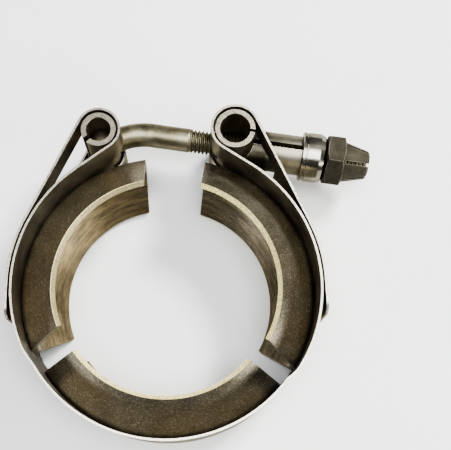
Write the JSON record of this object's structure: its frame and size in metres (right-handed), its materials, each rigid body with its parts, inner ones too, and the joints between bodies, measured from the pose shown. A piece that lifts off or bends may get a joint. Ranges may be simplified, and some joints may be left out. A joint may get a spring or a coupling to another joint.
{
  "type": "v-band pipe clamp",
  "caption": "Segmented V-band pipe coupling: a thin strap carries V-section segments and is drawn shut by a T-bolt, spacer sleeve and lock nut.",
  "frame": {"origin": "centre of curvature of the lower segment, on the mid-plane, which is the axis of the closed ring", "axes": "+Z along the pipe axis, +Y from the ring's centre towards the T-bolt, +X towards the lock nut"},
  "size_m": [0.0727, 0.066, 0.019],
  "materials": {
    "strap": "satin, faint heat tint",
    "segment": "satin, olive-brown heat tint",
    "trunnion": "dull rolled sheet",
    "bolt": "satin rolled thread",
    "sleeve": "satin",
    "collar": "turned, half bright",
    "nut": "dry-lubricated, dull with worn corners"
  },
  "bodies": {
    "lower": {"band_bottom": "strap", "retainer_bottom": "segment"},
    "left_arm": {"band_left": "strap", "retainer_left": "segment"},
    "right_arm": {"band_right": "strap", "retainer_right": "segment"},
    "bolt": {"t_bolt": "bolt", "bolt_trunnion": "trunnion"},
    "nut_hub": {"nut_trunnion": "trunnion"},
    "sleeve": {"spacer_sleeve": "sleeve", "sleeve_collar": "collar"},
    "nut": {"lock_nut": "nut"}
  },
  "joints": [
    {"name": "left_arm_flex", "type": "hinge", "parent": "lower", "child": "left_arm", "pos_m": [-0.02464, -0.01452, 0], "axis": [0, 0, -1], "range_deg": [0, 1.88]},
    {"name": "right_arm_flex", "type": "hinge", "parent": "lower", "child": "right_arm", "pos_m": [0.02238, -0.0178, 0], "axis": [0, 0, 1], "range_deg": [0, 1.88]},
    {"name": "bolt_swing", "type": "hinge", "parent": "left_arm", "child": "bolt", "pos_m": [-0.01285, 0.03185, 0], "axis": [0, 0, 1], "range_deg": [0, 0.921]},
    {"name": "nut_hub_turn", "type": "hinge", "parent": "right_arm", "child": "nut_hub", "pos_m": [0.014, 0.03165, 0], "axis": [0, 0, -1], "range_deg": [0, 2.84]},
    {"name": "sleeve_travel", "type": "slide", "parent": "bolt", "child": "sleeve", "axis": [-0.9871, 0.1599, 0], "range_m": [0, 0.00317]},
    {"name": "nut_spin", "type": "hinge", "parent": "sleeve", "child": "nut", "pos_m": [0.03473, 0.02829, 0], "axis": [-0.9871, 0.1599, 0], "range_deg": [0, 1441]}
  ],
  "couplings": [
    {"joint": "left_arm_flex", "follows": "sleeve_travel", "rad_per_m": 10.334},
    {"joint": "right_arm_flex", "follows": "sleeve_travel", "rad_per_m": 10.334},
    {"joint": "bolt_swing", "follows": "sleeve_travel", "rad_per_m": 5.0559},
    {"joint": "nut_hub_turn", "follows": "sleeve_travel", "rad_per_m": 15.611},
    {"joint": "nut_spin", "follows": "sleeve_travel", "rad_per_m": 7915.8}
  ]
}
